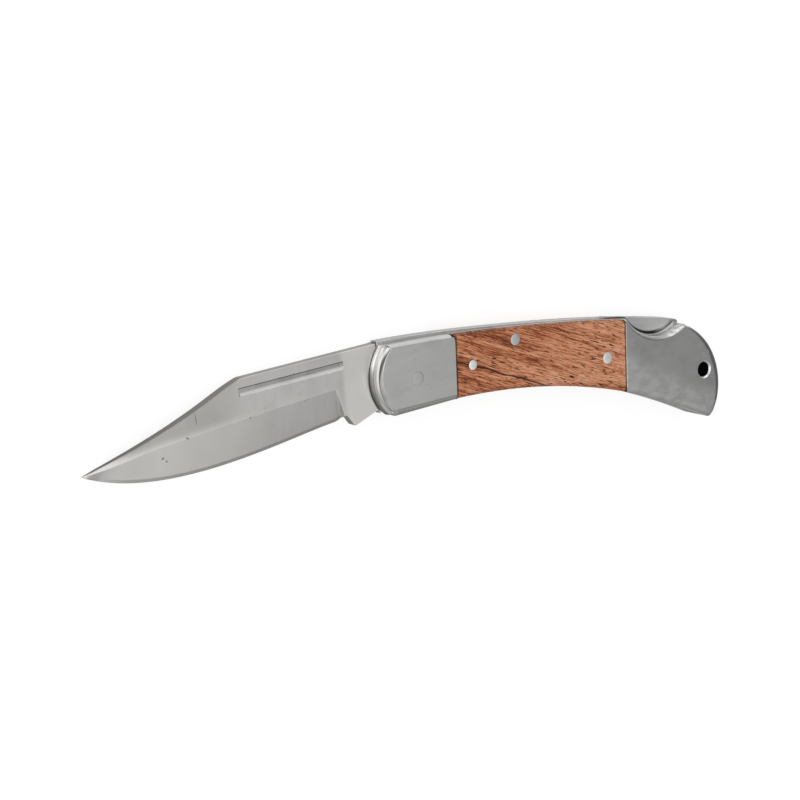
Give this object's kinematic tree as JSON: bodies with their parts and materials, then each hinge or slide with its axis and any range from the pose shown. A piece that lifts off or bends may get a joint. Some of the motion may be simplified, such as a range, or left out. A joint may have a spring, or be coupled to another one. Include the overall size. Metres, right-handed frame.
{
  "type": "folding lock-back pocket knife",
  "caption": "Lock-back folding knife with a clip-point blade, wooden scales between steel bolsters, a thumb cut-out over the lock bar and a lanyard hole.",
  "frame": {"origin": "on the blade pivot's axis, at the flat outer face of the lower side", "axes": "+X from the blade's tip to the butt with the knife open, +Y towards the spine, +Z through the thickness, towards the side with the nail groove"},
  "size_m": [0.204, 0.0457, 0.011],
  "materials": {
    "blade_steel": "satin ground stainless steel",
    "bar_steel": "satin steel",
    "bolster_steel": "bead-finished steel with polished edges",
    "liner_steel": "bright steel sheet",
    "rivet_metal": "polished nickel-silver rivets, flush",
    "washer_bronze": "plain bronze washers",
    "scale_wood": "oiled reddish hardwood with open dark pores"
  },
  "bodies": {
    "handle": {"front_bolster_lower": "bolster_steel", "wood_scale_lower": "scale_wood", "rear_bolster_lower": "bolster_steel", "liner_lower": "liner_steel", "scale_rivet_front_lower": "rivet_metal", "scale_rivet_rear_lower": "rivet_metal", "front_bolster_upper": "bolster_steel", "wood_scale_upper": "scale_wood", "rear_bolster_upper": "bolster_steel", "liner_upper": "liner_steel", "scale_rivet_front_upper": "rivet_metal", "scale_rivet_rear_upper": "rivet_metal", "pivot_washer_lower": "washer_bronze", "pivot_washer_upper": "washer_bronze", "pivot_pin": "bolster_steel", "lock_bar_pin": "bar_steel", "butt_spacer": "bar_steel", "butt_rivet_upper": "bolster_steel", "butt_rivet_lower": "bolster_steel"},
    "blade": {"blade": "blade_steel"},
    "lock_bar": {"lock_bar": "bar_steel"},
    "back_spring": {"back_spring": "bar_steel"}
  },
  "joints": [
    {"name": "blade_fold", "type": "hinge", "parent": "handle", "child": "blade", "pos_m": [0, 0, 0.0055], "axis": [0, 0, 1], "range_deg": [0, 167.5]},
    {"name": "lock_bar_rock", "type": "hinge", "parent": "handle", "child": "lock_bar", "pos_m": [0.0333, 0.0034, 0.0055], "axis": [0, 0, -1], "range_deg": [-1.4, 1.5], "stiffness_Nm_per_rad": 1},
    {"name": "back_spring_bend", "type": "hinge", "parent": "handle", "child": "back_spring", "pos_m": [0.09977, -0.0126, 0.0055], "axis": [0, 0, 1], "range_deg": [-5.5, 6]}
  ],
  "couplings": [
    {"joint": "back_spring_bend", "follows": "lock_bar_rock", "ratio": 3.75}
  ]
}
